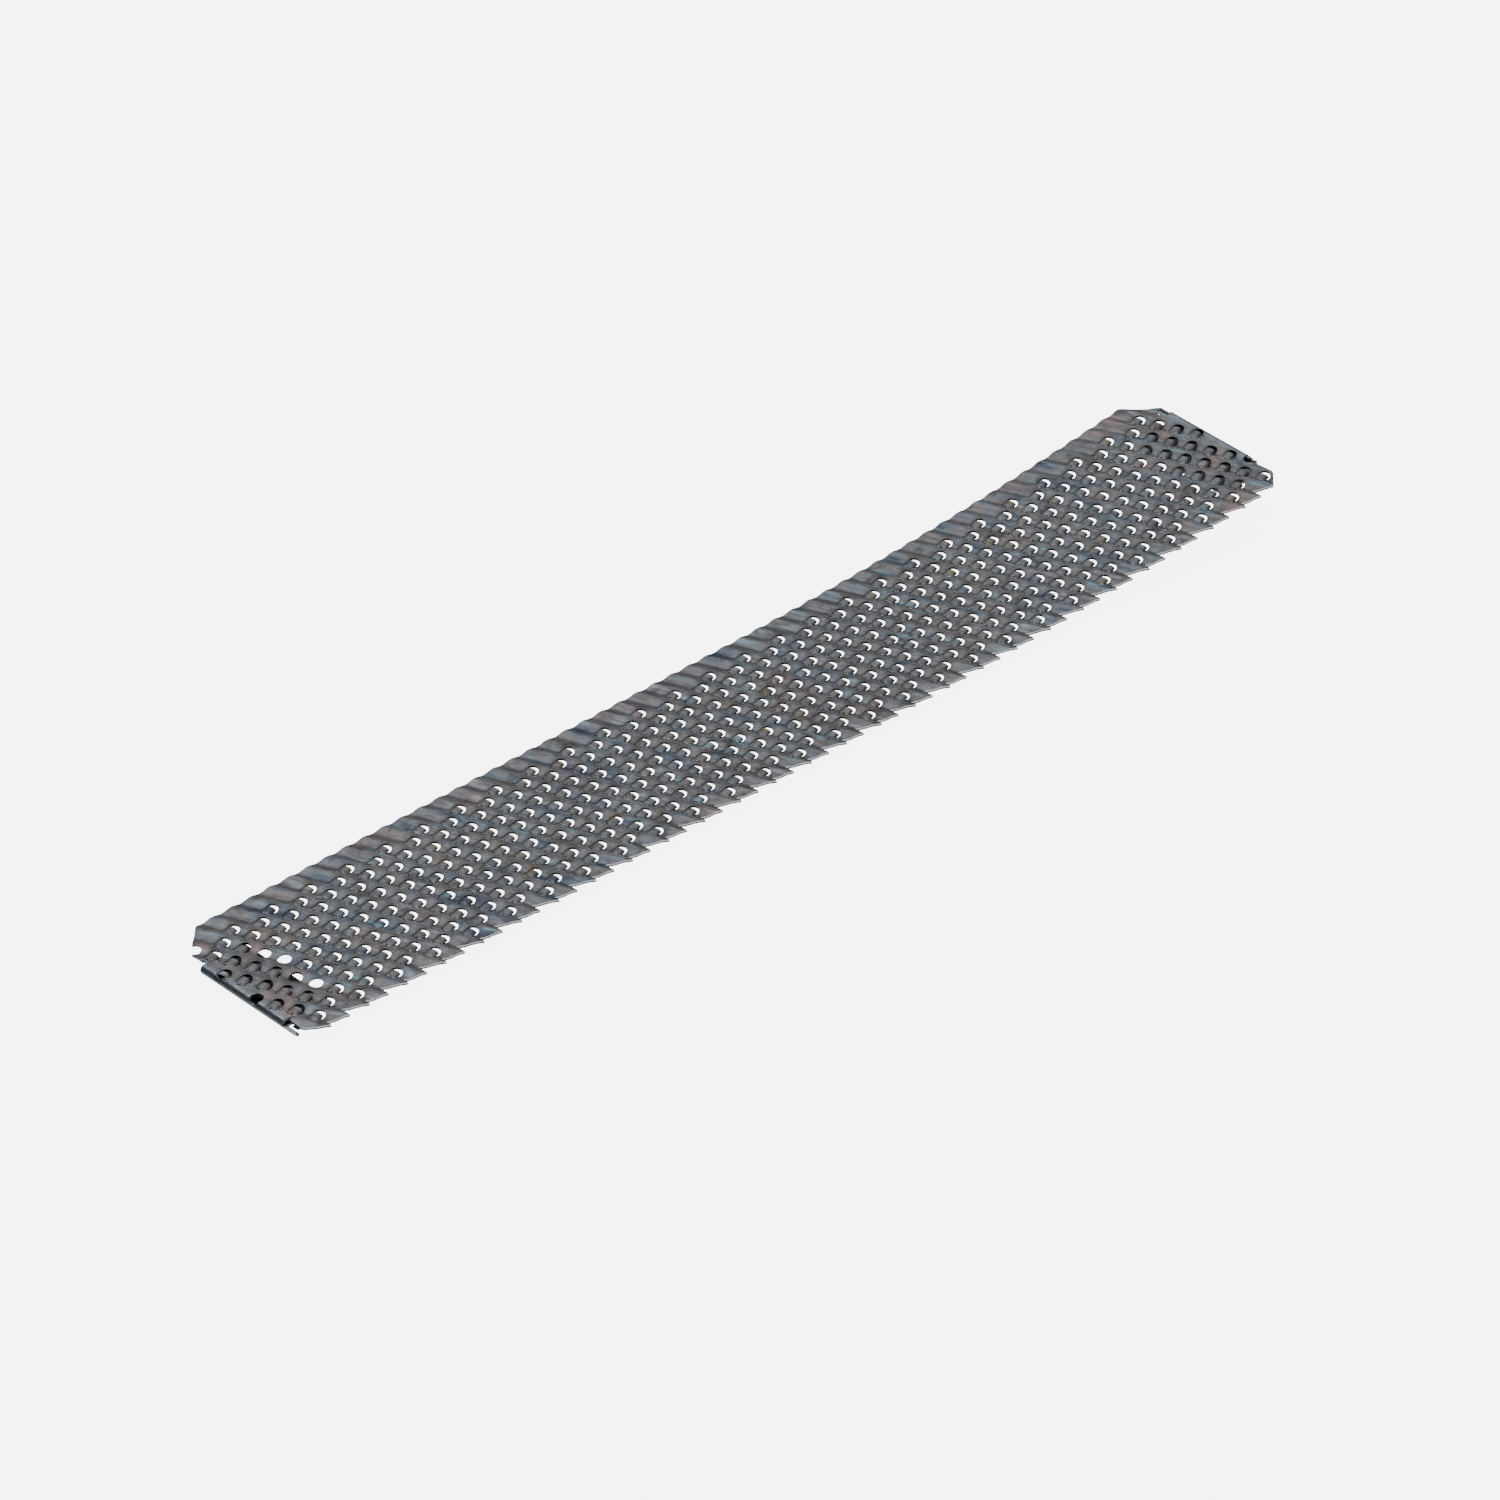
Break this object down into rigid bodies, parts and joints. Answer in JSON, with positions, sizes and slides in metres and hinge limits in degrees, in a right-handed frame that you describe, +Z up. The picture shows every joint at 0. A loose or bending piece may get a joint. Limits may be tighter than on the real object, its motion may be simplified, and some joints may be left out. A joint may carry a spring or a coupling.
{
  "type": "rasp plane blade",
  "caption": "Thin perforated steel rasp blade with slanted rows of raised teeth, one saw-toothed edge, one plain edge and a folded hook at each end.",
  "frame": {"origin": "middle of the blade's length and width, level with the underside of the rear hook", "axes": "+X along the blade to the front end, where the teeth point; +Y across it to the plain safe edge; +Z up, out of the toothed face"},
  "size_m": [0.2541, 0.0412, 0.0094],
  "materials": {
    "tempered_steel": "hardened and tempered spring steel, satin, with blue, purple and straw heat tints"
  },
  "bodies": {
    "root": {"cutting_web": "tempered_steel", "safe_edge": "tempered_steel", "front_hook_fold": "tempered_steel", "front_hook_leg": "tempered_steel", "rear_hook_fold": "tempered_steel", "rear_hook_leg": "tempered_steel"}
  },
  "joints": []
}
